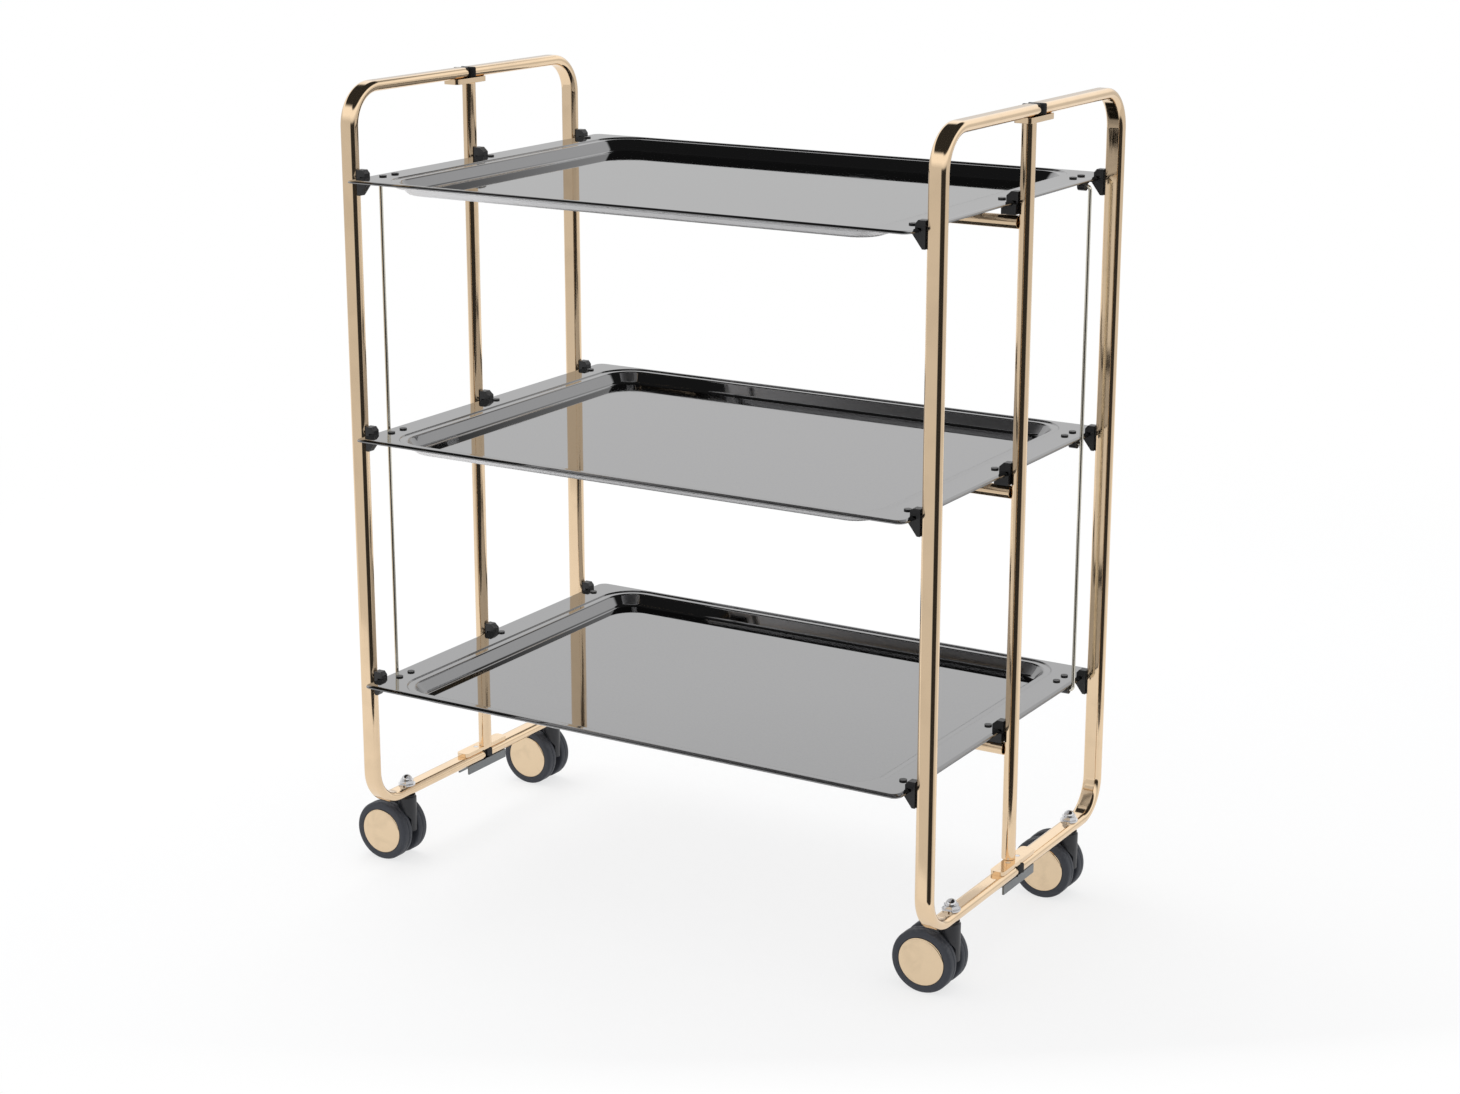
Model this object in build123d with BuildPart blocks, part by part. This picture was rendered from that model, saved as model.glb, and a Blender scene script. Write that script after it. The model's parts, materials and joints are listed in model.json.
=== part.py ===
"""Folding serving trolley: three trays in a tube frame on four twin-wheel casters.

Right-handed frame, millimetres: +X along the trays to the right-hand end, +Y to the
rear, +Z up. The origin lies on the floor, in the middle of the trolley's outline.
"""
import os
from math import sqrt

from build123d import *

# End frames of flat-oval tube
frame_half_length = 303.5
upright_half_spacing = 179.0
rail_spacing = 700.0
tube_width = 18.0
tube_depth = 10.0
tube_wall = 1.2
bend_radius = 35.0

# Vertical hinges between the front and rear half of each end frame
hinge_half_pitch = 10.0
pin_radius = 2.5
pin_head_radius = 4.5
pin_head_height = 1.2
rail_overrun = 4.0
plug_nose = 5.0
plug_stub = 14.0
plug_clearance = 0.1
plug_edge_radius = 1.2
hinge_bar_thickness = 5.0
hinge_bar_reach = 14.0
base_strap_thickness = 4.0
base_strap_width = 14.0
base_strap_reach = 25.0
foot_strap_thickness = 2.0
foot_strap_height = 9.0
foot_strap_width = 14.0
foot_strap_reach = 22.0
bar_corner_radius = 4.0

# Centre posts
post_radius = 6.5
post_wall = 1.2
post_inset = 4.5

# Trays of pressed sheet
tray_end_gap = 4.5
tray_overhang = 27.0
tray_corner_radius = 8.0
tray_top_drop = 79.6
tray_spacing = 242.9
tray_count = 3
sheet = 1.0
lip_height = 2.5
lip_width = 1.2
end_rim = 38.0
side_rim = 14.0
mouth_radius = 28.0
floor_depth = 12.0
wall_run = 8.0
floor_radius = 22.0
floor_bend = 4.0
ledge_width = 7.0
ledge_drop = 1.2

# Cross tube under each tray
cross_tube_radius = 6.0
cross_tube_wall = 1.0
cross_tube_end_gap = 0.5
cross_pad_length = 30.0
cross_pad_width = 16.0
cross_pad_height = 2.5
cross_pad_half_pitch = 150.0

# Black plastic fittings on the tray ends
fitting_plate = 3.0
fitting_plate_reach = 22.0
fitting_clearance = 0.3
rivet_inset = 15.0
rivet_radius = 2.0
rivet_head_radius = 3.5
rivet_head_height = 1.2
rivet_hole_clearance = 0.1
clip_width = 8.0
clip_drop = 17.5
clip_rise = 6.5
clip_lobe = 5.5
clip_gusset = 10.0
clip_toe = 3.0
clip_plate_half_width = 11.0
clip_rivet_offset = 11.0
pivot_drop = 6.0
pivot_block_half_width = 8.0
pivot_block_length = 12.0
pivot_block_drop = 12.0
pivot_rise = 8.0
pivot_lobe = 9.0
pivot_plate_half_width = 11.0
pivot_pin_radius = 2.5
pivot_pin_engagement = 10.0
running_clearance = 0.05

# Link rods that keep the three trays parallel
rod_radius = 1.75
rod_setback = 29.0
rod_bend_radius = 3.5
rod_edge_gap = 0.55
rod_hook = 8.5
rod_branch_radius = 1.5
rod_open_clearance = 0.4
lug_radius = 4.5
lug_length = 7.5
lug_plate_half_width = 8.0

# Twin-wheel casters
caster_height = 68.0
caster_setback = 53.0
caster_trail = 20.0
wheel_radius = 30.0
wheel_inner_face = 5.0
wheel_outer_face = 18.5
wheel_shoulder = 2.4
groove_depth = 0.9
groove_half_width = 0.8
groove_place_share = 0.45
cap_radius = 22.5
cap_recess = 1.2
cap_dome = 0.8
cap_edge = 0.9
cap_clearance = 0.3
axle_radius = 3.0
web_clearance = 0.3
web_radius = 15.0
shoulder_radius = 8.0
neck_radius = 9.0
neck_bottom_share = 0.46
wheel_arch_clearance = 0.8
neck_edge_radius = 1.5
swivel_gap = 0.3
stem_radius = 4.0
stem_depth = 19.0
stem_collar_radius = 8.0
stem_collar_height = 1.5

# Domed cap nuts over the casters
nut_flange_radius = 8.5
nut_flange_height = 1.5
nut_across_flats = 13.0
nut_height = 3.5
nut_dome_radius = 5.5
nut_thread_depth = 5.0
thread_clearance = 0.05

# Levels and places that follow from the sizes above
tray_half_length = frame_half_length - tube_width / 2 - tray_end_gap
tray_half_depth = upright_half_spacing + tray_overhang
rod_half_spacing = upright_half_spacing - rod_setback
frame_shift = (caster_trail + wheel_radius - tube_width / 2) / 2
bottom_rail_z = caster_height + tube_depth / 2
top_rail_z = bottom_rail_z + rail_spacing
top_rail_underside = top_rail_z - tube_depth / 2
bottom_rail_top = bottom_rail_z + tube_depth / 2
top_rim_z = top_rail_z - tray_top_drop
rim_levels = [top_rim_z - tray_spacing * step for step in range(tray_count)]
tray_names = ["top", "middle", "bottom"]
hinge_bar_bottom = top_rail_underside - hinge_bar_thickness
base_strap_top = bottom_rail_top + base_strap_thickness
foot_web_bottom = caster_height - foot_strap_thickness
stem_half_spacing = upright_half_spacing - caster_setback
axle_z = wheel_radius
collar_bottom = caster_height - stem_collar_height
hood_top = collar_bottom - swivel_gap
stem_bottom = caster_height - stem_depth - stem_collar_height
web_half_width = wheel_inner_face - web_clearance
sides = {"left": -1, "right": 1}
ends = {"front": -1, "rear": 1}

# Outward distances from the tray's end edge
clip_face = tray_end_gap - fitting_clearance
post_gap = frame_half_length - post_inset - post_radius - tray_half_length
pivot_face = post_gap - fitting_clearance
rod_offset = rod_edge_gap + rod_radius

os.makedirs("parts", exist_ok=True)


def save(part, label):
    """Label a finished piece and write it as its own STEP file."""
    part.label = label
    export_step(part, f"parts/{label}.step")


def frame_x(side):
    """X of the middle of one end frame."""
    return frame_shift + side * frame_half_length


def post_x(side):
    """X of the axis of one centre post."""
    return frame_shift + side * (frame_half_length - post_inset)


def edge_x(side, outward):
    """X of a point outward from the tray's end edge."""
    return frame_shift + side * (tray_half_length + outward)


def pin_y(end):
    """Y of the hinge pin of the front or rear half frame."""
    return end * hinge_half_pitch


def upright_plane(x):
    """Upright plane across the trolley, its axes along +Y and +Z."""
    return Plane(origin=(x, 0, 0), x_dir=(0, 1, 0), z_dir=(1, 0, 0))


def length_plane(y):
    """Upright plane along the trolley, its axes along +X and +Z."""
    return Plane(origin=(0, y, 0), x_dir=(1, 0, 0), z_dir=(0, -1, 0))


# Half frames: a flat-oval tube from the hinge over the upright and back under it
for end_name, end in ends.items():
    for side_name, side in sides.items():
        rail_end = pin_y(end) - end * rail_overrun
        upright_y = end * upright_half_spacing
        with BuildPart() as half_frame:
            with BuildLine(upright_plane(frame_x(side))):
                FilletPolyline(
                    (rail_end, top_rail_z),
                    (upright_y, top_rail_z),
                    (upright_y, bottom_rail_z),
                    (rail_end, bottom_rail_z),
                    radius=bend_radius,
                )
            with BuildSketch(Plane(origin=(frame_x(side), rail_end, top_rail_z),
                                   x_dir=(1, 0, 0), z_dir=(0, end, 0))):
                SlotOverall(tube_width, tube_depth)
                offset(amount=-tube_wall, mode=Mode.SUBTRACT)
            sweep()
            # Hole for the caster stem
            with BuildSketch(Plane.XY.offset(caster_height - tube_depth)):
                with Locations((frame_x(side), end * stem_half_spacing)):
                    Circle(stem_radius + thread_clearance)
            extrude(amount=tube_depth * 3, mode=Mode.SUBTRACT)
            # Holes for the hinge pins
            with BuildSketch(Plane.XY.offset(caster_height - tube_depth)):
                with Locations((frame_x(side), pin_y(end))):
                    Circle(pin_radius + running_clearance)
            extrude(amount=tube_depth * 3, mode=Mode.SUBTRACT)
            with BuildSketch(Plane.XY.offset(top_rail_z)):
                with Locations((frame_x(side), pin_y(end))):
                    Circle(pin_radius + running_clearance)
            extrude(amount=-tube_depth, mode=Mode.SUBTRACT)
        save(half_frame.part, f"frame_tube_{end_name}_{side_name}")

# Black plugs that close the rail ends, each with a rounded nose and a stub in the tube
stub_width = tube_width - 2 * tube_wall - 2 * plug_clearance
stub_depth = tube_depth - 2 * tube_wall - 2 * plug_clearance


def rail_plug(side, end, level):
    """Plug of one rail end, with the hole that its hinge pin turns in."""
    x, face_y = frame_x(side), pin_y(end) - end * rail_overrun
    pin_top = level if level == top_rail_z else level + tube_depth
    with BuildPart() as plug:
        with BuildSketch(Plane.XY.offset(level - tube_depth / 2)):
            with BuildLine():
                Line((x - tube_width / 2, face_y), (x + tube_width / 2, face_y))
                ThreePointArc((x + tube_width / 2, face_y), (x, face_y - end * plug_nose),
                              (x - tube_width / 2, face_y))
            make_face()
        extrude(amount=tube_depth)
        fillet(plug.edges().filter_by(GeomType.CIRCLE), plug_edge_radius)
        with BuildSketch(Plane(origin=(x, face_y, level), x_dir=(1, 0, 0),
                               z_dir=(0, end, 0))):
            SlotOverall(stub_width, stub_depth)
        extrude(amount=plug_stub)
        with BuildSketch(Plane.XY.offset(pin_top)):
            with Locations((x, pin_y(end))):
                Circle(pin_radius + running_clearance)
        extrude(amount=-tube_depth * 2, mode=Mode.SUBTRACT)
    return plug.part


plugs = [rail_plug(side, end, level) for side in sides.values()
         for end in ends.values() for level in (top_rail_z, bottom_rail_z)]
with BuildPart() as rail_plugs:
    add(plugs)
save(rail_plugs.part, "rail_plugs")

# Hinge pins: below through both straps and the rail, with a head inside the foot
# strap, above through the hinge bar
with BuildPart() as hinge_pins:
    for end in ends.values():
        for side in sides.values():
            spot = (frame_x(side), pin_y(end))
            with BuildSketch(Plane.XY.offset(foot_web_bottom)):
                with Locations(spot):
                    Circle(pin_radius)
            extrude(amount=base_strap_top - foot_web_bottom)
            with BuildSketch(Plane.XY.offset(foot_web_bottom)):
                with Locations(spot):
                    Circle(pin_head_radius)
            extrude(amount=-pin_head_height)
            with BuildSketch(Plane.XY.offset(hinge_bar_bottom)):
                with Locations(spot):
                    Circle(pin_radius)
            extrude(amount=top_rail_z - hinge_bar_bottom)
save(hinge_pins.part, "hinge_pins")


def pin_spots(side):
    """Places of the front and rear hinge pin of one end frame."""
    return [(frame_x(side), pin_y(end)) for end in ends.values()]


def strap(side, bottom, height, width, reach):
    """Flat bar under or over the rails, reaching past both hinge pins."""
    with BuildPart() as bar:
        with BuildSketch(Plane.XY.offset(bottom)):
            with Locations((frame_x(side), 0)):
                RectangleRounded(width, 2 * (hinge_half_pitch + reach), bar_corner_radius)
            with Locations(pin_spots(side)):
                Circle(pin_radius, mode=Mode.SUBTRACT)
        extrude(amount=height)
    return bar.part


def foot_strap(side):
    """Folded channel under the bottom rails, open below."""
    half_length = hinge_half_pitch + foot_strap_reach
    with BuildPart() as channel:
        with BuildSketch(length_plane(half_length)):
            with Locations((frame_x(side), caster_height)):
                Rectangle(foot_strap_width, foot_strap_height, align=(Align.CENTER, Align.MAX))
            with Locations((frame_x(side), foot_web_bottom)):
                Rectangle(foot_strap_width - 2 * foot_strap_thickness, foot_strap_height,
                          align=(Align.CENTER, Align.MAX), mode=Mode.SUBTRACT)
        extrude(amount=2 * half_length)
        with BuildSketch(Plane.XY.offset(caster_height)):
            with Locations(pin_spots(side)):
                Circle(pin_radius)
        extrude(amount=-foot_strap_height, mode=Mode.SUBTRACT)
    return channel.part


for side_name, side in sides.items():
    save(strap(side, hinge_bar_bottom, hinge_bar_thickness, tube_width, hinge_bar_reach),
         f"hinge_bar_{side_name}")
    save(strap(side, bottom_rail_top, base_strap_thickness, base_strap_width,
               base_strap_reach), f"base_strap_{side_name}")
    save(foot_strap(side), f"foot_strap_{side_name}")

# Centre posts, drilled for the tray pivots
for side_name, side in sides.items():
    with BuildPart() as post:
        with BuildSketch(Plane.XY.offset(base_strap_top)):
            with Locations((post_x(side), 0)):
                Circle(post_radius)
                Circle(post_radius - post_wall, mode=Mode.SUBTRACT)
        extrude(amount=hinge_bar_bottom - base_strap_top)
        with BuildSketch(upright_plane(post_x(side))):
            with Locations(*[(0, rim - pivot_drop) for rim in rim_levels]):
                Circle(pivot_pin_radius)
        extrude(amount=post_radius * 2, both=True, mode=Mode.SUBTRACT)
    save(post.part, f"post_{side_name}")

# Pivot pins from the posts into the tray brackets
with BuildPart() as pivot_pins:
    for side in sides.values():
        pin_start = edge_x(side, -pivot_pin_engagement)
        pin_end = post_x(side) + side * (post_radius - post_wall / 2)
        for rim in rim_levels:
            with BuildSketch(upright_plane(pin_start)):
                with Locations((0, rim - pivot_drop)):
                    Circle(pivot_pin_radius)
            extrude(amount=pin_end - pin_start)
save(pivot_pins.part, "tray_pivot_pins")


def rounded_plate(level, half_x, half_y, radius):
    """Rounded rectangle on a level plane, centred on the trolley's middle."""
    with BuildSketch(Plane.XY.offset(level)) as outline:
        with Locations((frame_shift, 0)):
            RectangleRounded(2 * half_x, 2 * half_y, radius)
    return outline.sketch


mouth_x = tray_half_length - end_rim
mouth_y = tray_half_depth - side_rim
wall_height = floor_depth - ledge_drop
wall_growth = sheet * sqrt(wall_run ** 2 + wall_height ** 2) / wall_height
rivet_x = tray_half_length - rivet_inset
clip_rivet_y = upright_half_spacing - clip_rivet_offset
lug_places = [(-1, -1), (1, 1)]


def rivet_spots():
    """Plan places of all rivets through one tray's rim."""
    spots = []
    for side in sides.values():
        x = frame_shift + side * rivet_x
        spots.append((x, 0))
        for end in ends.values():
            spots.append((x, end * clip_rivet_y))
    for side, end in lug_places:
        spots.append((frame_shift + side * rivet_x, end * rod_half_spacing))
    return spots


def pressed_form(top, top_growth, bottom, edge_radius):
    """Tapered block of the tray's hollow, its lowest edges rounded."""
    upper = rounded_plate(top, mouth_x + top_growth, mouth_y + top_growth,
                          mouth_radius + top_growth)
    lower = rounded_plate(bottom, mouth_x - wall_run, mouth_y - wall_run, floor_radius)
    with BuildPart() as form:
        add(upper)
        add(lower)
        loft(ruled=True)
        fillet(form.faces().sort_by(Axis.Z)[0].edges(), edge_radius)
    return form.part


def tray_pan(rim):
    """Pressed tray: flat rim with a lip, a stepped ledge and a sunk floor."""
    ledge = rim - ledge_drop
    floor = rim - floor_depth
    step = ledge_width + sheet
    hollow = pressed_form(ledge, 0, floor, floor_bend)
    belly = pressed_form(ledge, wall_growth, floor - sheet, floor_bend)
    plate = rounded_plate(rim, tray_half_length, tray_half_depth, tray_corner_radius)
    inside_lip = rounded_plate(rim - sheet, tray_half_length - lip_width,
                               tray_half_depth - lip_width, tray_corner_radius - lip_width)
    ledge_block = rounded_plate(rim, mouth_x + step, mouth_y + step, mouth_radius + step)
    ledge_space = rounded_plate(rim, mouth_x + ledge_width, mouth_y + ledge_width,
                                mouth_radius + ledge_width)
    with BuildPart() as pan:
        add(plate)
        extrude(amount=-lip_height)
        add(inside_lip)
        extrude(amount=-lip_height, mode=Mode.SUBTRACT)
        add(ledge_block)
        extrude(amount=-ledge_drop - sheet)
        add(belly)
        add(ledge_space)
        extrude(amount=-ledge_drop, mode=Mode.SUBTRACT)
        add(hollow, mode=Mode.SUBTRACT)
        with BuildSketch(Plane.XY.offset(rim)):
            with Locations(*rivet_spots()):
                Circle(rivet_radius + rivet_hole_clearance)
        extrude(amount=-sheet * 2, mode=Mode.SUBTRACT)
    return pan.part


def cross_tube(rim):
    """Round tube along the underside of one tray, with two pads against its floor."""
    underside = rim - floor_depth - sheet
    axis_z = underside - cross_tube_radius - fitting_clearance
    half_length = tray_half_length + post_gap - cross_tube_end_gap
    with BuildPart() as tube:
        with BuildSketch(upright_plane(frame_shift)):
            with Locations((0, axis_z)):
                Circle(cross_tube_radius)
        extrude(amount=half_length, both=True)
        with BuildSketch(Plane.XY.offset(underside)):
            with Locations((frame_shift - cross_pad_half_pitch, 0),
                           (frame_shift + cross_pad_half_pitch, 0)):
                Rectangle(cross_pad_length, cross_pad_width)
        extrude(amount=-cross_pad_height)
        with BuildSketch(upright_plane(frame_shift)):
            with Locations((0, axis_z)):
                Circle(cross_tube_radius - cross_tube_wall)
        extrude(amount=half_length, both=True, mode=Mode.SUBTRACT)
    return tube.part


def plate_and_rivet(rim, side, y, half_width, plate_y):
    """Plate under the rim, held by a stud whose head shows on top."""
    inner = edge_x(side, -fitting_plate_reach)
    outer = edge_x(side, -lip_width - fitting_clearance)
    with BuildPart() as fitting:
        with BuildSketch(Plane.XY.offset(rim - sheet)):
            with Locations(((inner + outer) / 2, plate_y)):
                RectangleRounded(abs(outer - inner), 2 * half_width, rivet_radius)
        extrude(amount=-fitting_plate)
        with BuildSketch(Plane.XY.offset(rim - sheet)):
            with Locations((frame_shift + side * rivet_x, y)):
                Circle(rivet_radius)
        extrude(amount=sheet)
        with BuildSketch(Plane.XY.offset(rim)):
            with Locations((frame_shift + side * rivet_x, y)):
                Circle(rivet_head_radius)
        extrude(amount=rivet_head_height)
    return fitting.part


def hook_points(rim, side, lobe, face, rise, drop, toe, gusset):
    """Outline round the tray's end edge: a lobe on the rim, a gusset under the lip."""
    under = rim - lip_height - fitting_clearance
    return [
        (edge_x(side, -lobe), rim),
        (edge_x(side, -lobe), rim + rise / 2),
        (edge_x(side, -lobe / 2), rim + rise),
        (edge_x(side, face), rim + rise),
        (edge_x(side, face), rim - drop),
        (edge_x(side, face - toe), rim - drop),
        (edge_x(side, -gusset), under),
        (edge_x(side, fitting_clearance), under),
        (edge_x(side, fitting_clearance), rim),
    ]


def corner_clips(rim):
    """Four clips that rest the tray's corners against the uprights."""
    corners = [(side, end) for side in sides.values() for end in ends.values()]
    plates = [plate_and_rivet(rim, side, end * clip_rivet_y, clip_plate_half_width,
                              end * (upright_half_spacing - clip_rivet_offset / 2))
              for side, end in corners]
    with BuildPart() as clips:
        add(plates)
        for side, end in corners:
            with BuildSketch(length_plane(end * upright_half_spacing)):
                with BuildLine():
                    Polyline(*hook_points(rim, side, clip_lobe, clip_face, clip_rise,
                                          clip_drop, clip_toe, clip_gusset), close=True)
                make_face()
            extrude(amount=clip_width / 2, both=True)
    return clips.part


def pivot_brackets(rim):
    """Two brackets that carry the tray on the pivot pins of the posts."""
    under = rim - lip_height - fitting_clearance
    plates = [plate_and_rivet(rim, side, 0, pivot_plate_half_width, 0)
              for side in sides.values()]
    with BuildPart() as brackets:
        add(plates)
        for side in sides.values():
            with BuildSketch(length_plane(0)):
                with BuildLine():
                    Polyline(*hook_points(rim, side, pivot_lobe, pivot_face, pivot_rise,
                                          pivot_block_drop, pivot_block_length / 2,
                                          pivot_block_length), close=True)
                make_face()
            extrude(amount=clip_width / 2, both=True)
            inner = edge_x(side, -pivot_block_length)
            outer = edge_x(side, pivot_face)
            with BuildSketch(Plane.XY.offset(under)):
                with Locations(((inner + outer) / 2, 0)):
                    Rectangle(abs(outer - inner), 2 * pivot_block_half_width)
            extrude(amount=rim - pivot_block_drop - under)
        with BuildSketch(upright_plane(frame_shift)):
            with Locations((0, rim - pivot_drop)):
                Circle(pivot_pin_radius + running_clearance)
        extrude(amount=frame_half_length, both=True, mode=Mode.SUBTRACT)
    return brackets.part


def rod_lugs(rim, clearance):
    """Two lugs under the rim, front left and rear right, that the link rods hook into."""
    plates = [plate_and_rivet(rim, side, end * rod_half_spacing, lug_plate_half_width,
                              end * rod_half_spacing) for side, end in lug_places]
    with BuildPart() as lugs:
        add(plates)
        for side, end in lug_places:
            y = end * rod_half_spacing
            face = edge_x(side, -lip_width - fitting_clearance)
            with BuildSketch(upright_plane(face)):
                with Locations((y, rim - pivot_drop)):
                    Circle(lug_radius)
            extrude(amount=-side * lug_length)
            with BuildSketch(upright_plane(face)):
                with Locations((y, rim - pivot_drop)):
                    Circle(rod_radius + clearance)
            extrude(amount=-side * fitting_plate_reach, mode=Mode.SUBTRACT)
    return lugs.part


for name, rim_z in zip(tray_names, rim_levels):
    lug_clearance = running_clearance if rim_z == top_rim_z else rod_open_clearance
    save(tray_pan(rim_z), f"tray_pan_{name}")
    save(cross_tube(rim_z), f"cross_tube_{name}")
    save(corner_clips(rim_z), f"corner_clips_{name}")
    save(pivot_brackets(rim_z), f"pivot_brackets_{name}")
    save(rod_lugs(rim_z, lug_clearance), f"rod_lugs_{name}")

# Link rods: a wire down the outside of the tray ends, hooked into each tray's lug
hook_levels = [rim - pivot_drop for rim in rim_levels]
for (side, end), side_name in zip(lug_places, sides):
    rod_y = end * rod_half_spacing
    hook_x = edge_x(side, -rod_hook)
    rod_x = edge_x(side, rod_offset)
    with BuildPart() as rod:
        with BuildLine(length_plane(rod_y)):
            FilletPolyline(
                (hook_x, hook_levels[0]),
                (rod_x, hook_levels[0]),
                (rod_x, hook_levels[-1]),
                (hook_x, hook_levels[-1]),
                radius=rod_bend_radius,
            )
        with BuildSketch(Plane(origin=(hook_x, rod_y, hook_levels[0]),
                               x_dir=(0, 1, 0), z_dir=(side, 0, 0))):
            Circle(rod_radius)
        sweep()
        for level in hook_levels[1:-1]:
            with BuildSketch(upright_plane(hook_x)):
                with Locations((rod_y, level)):
                    Circle(rod_branch_radius)
            extrude(amount=rod_x - hook_x)
    save(rod.part, f"link_rod_{side_name}")

# Domed cap nuts on the bottom rails, each over a caster
nut_spots = [(frame_x(side), end * stem_half_spacing)
             for side in sides.values() for end in ends.values()]
with BuildPart() as cap_nuts:
    with BuildSketch(Plane.XY.offset(bottom_rail_top)):
        with Locations(*nut_spots):
            Circle(nut_flange_radius)
    extrude(amount=nut_flange_height)
    with BuildSketch(Plane.XY.offset(bottom_rail_top)):
        with Locations(*nut_spots):
            RegularPolygon(nut_across_flats / 2, 6, major_radius=False)
    extrude(amount=nut_flange_height + nut_height)
    with Locations(*[(x, y, bottom_rail_top + nut_flange_height + nut_height)
                     for x, y in nut_spots]):
        Sphere(nut_dome_radius, arc_size1=0,
               align=(Align.CENTER, Align.CENTER, Align.MIN))
    with BuildSketch(Plane.XY.offset(bottom_rail_top)):
        with Locations(*nut_spots):
            Circle(stem_radius + thread_clearance)
    extrude(amount=nut_flange_height + nut_thread_depth, mode=Mode.SUBTRACT)
save(cap_nuts.part, "cap_nuts")

# Caster stems, clamped to the bottom rails by the cap nuts
with BuildPart() as caster_stems:
    with BuildSketch(Plane.XY.offset(stem_bottom)):
        with Locations(*nut_spots):
            Circle(stem_radius)
    extrude(amount=bottom_rail_top + nut_flange_height + nut_thread_depth
            - fitting_clearance - stem_bottom)
    with BuildSketch(Plane.XY.offset(collar_bottom)):
        with Locations(*nut_spots):
            Circle(stem_collar_radius)
    extrude(amount=stem_collar_height)
save(caster_stems.part, "caster_stems")


def caster_hood(x, y):
    """Caster body: a neck round the stem and a web between the two wheels."""
    axle_x = x - caster_trail
    with BuildPart() as hood:
        with BuildSketch(Plane.XY.offset(hood_top)):
            with Locations((x, y)):
                Circle(neck_radius)
        extrude(amount=-hood_top * (1 - neck_bottom_share))
        fillet(hood.faces().sort_by(Axis.Z)[-1].edges(), neck_edge_radius)
        # Room for both wheels
        for direction in sides.values():
            with BuildSketch(Plane.XZ.offset(-y - direction * web_half_width)):
                with Locations((axle_x, axle_z)):
                    Circle(wheel_radius + wheel_arch_clearance)
            extrude(amount=-direction * wheel_outer_face, mode=Mode.SUBTRACT)
        with BuildSketch(Plane.XZ.offset(-y)):
            with Locations((axle_x, axle_z)):
                Circle(web_radius)
            with Locations((x, hood_top * (1 - neck_bottom_share) + web_radius)):
                Circle(shoulder_radius)
            make_hull()
        extrude(amount=web_half_width, both=True)
        with BuildSketch(Plane.XZ.offset(-y)):
            with Locations((axle_x, axle_z)):
                Circle(axle_radius)
        extrude(amount=web_half_width, both=True, mode=Mode.SUBTRACT)
        with BuildSketch(Plane.XY.offset(stem_bottom - swivel_gap)):
            with Locations((x, y)):
                Circle(stem_radius + running_clearance)
        extrude(amount=caster_height, mode=Mode.SUBTRACT)
    return hood.part


def wheel(axle_x, y, side):
    """One moulded wheel with a grooved tread and a recess for its cap."""
    inner, outer = side * wheel_inner_face, side * wheel_outer_face
    groove = inner + (outer - inner) * groove_place_share
    crown = wheel_radius - wheel_shoulder
    bore = axle_radius + running_clearance
    profile = [
        (inner, bore), (inner, crown), (inner + side * wheel_shoulder, wheel_radius),
        (groove - side * groove_half_width, wheel_radius),
        (groove, wheel_radius - groove_depth),
        (groove + side * groove_half_width, wheel_radius),
        (outer - side * wheel_shoulder, wheel_radius), (outer, crown),
        (outer, cap_radius + cap_clearance),
        (outer - side * cap_recess, cap_radius + cap_clearance),
        (outer - side * cap_recess, bore),
    ]
    with BuildPart() as disc:
        with BuildSketch(Plane(origin=(axle_x, y, axle_z), x_dir=(0, 1, 0),
                               z_dir=(1, 0, 0))):
            with BuildLine():
                Polyline(*profile, close=True)
            make_face()
        revolve(axis=Axis((axle_x, y, axle_z), (0, 1, 0)))
    return disc.part


def wheel_cap(axle_x, y, side):
    """Slightly domed disc on the outer face of one wheel."""
    seat = side * (wheel_outer_face - cap_recess)
    rim_face = seat + side * cap_edge
    crown = side * (wheel_outer_face + cap_dome)
    with BuildPart() as cap:
        with BuildSketch(Plane(origin=(axle_x, y, axle_z), x_dir=(0, 1, 0),
                               z_dir=(1, 0, 0))):
            with BuildLine():
                Polyline((crown, 0), (seat, 0), (seat, cap_radius), (rim_face, cap_radius))
                TangentArc((crown, 0), (rim_face, cap_radius), tangent=(0, 1))
            make_face()
        revolve(axis=Axis((axle_x, y, axle_z), (0, 1, 0)))
    return cap.part


def caster_axle(axle_x, y):
    """Steel axle through the web and both wheels."""
    reach = wheel_outer_face - cap_recess - fitting_clearance
    with BuildPart() as axle:
        with BuildSketch(Plane.XZ.offset(-y)):
            with Locations((axle_x, axle_z)):
                Circle(axle_radius)
        extrude(amount=reach, both=True)
    return axle.part


for side_name, side in sides.items():
    for end_name, end in ends.items():
        stem_x, stem_y = frame_x(side), end * stem_half_spacing
        corner = f"{end_name}_{side_name}"
        save(caster_hood(stem_x, stem_y), f"caster_body_{corner}")
        save(caster_axle(stem_x - caster_trail, stem_y), f"caster_axle_{corner}")
        for half_name, half in ends.items():
            tag = f"{corner}_{half_name}"
            save(wheel(stem_x - caster_trail, stem_y, half), f"wheel_{tag}")
            save(wheel_cap(stem_x - caster_trail, stem_y, half), f"wheel_cap_{tag}")
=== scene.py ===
"""Folding serving trolley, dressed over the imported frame.

All sizes are metres in the frame's own axes: +X along the trays to the right-hand
end, +Y to the rear, +Z up. The origin lies on the floor under the trolley's middle.
"""
import json
import logging
import math
from dataclasses import dataclass
from enum import Enum

import bmesh
import bpy
from mathutils import Matrix, Vector

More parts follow.
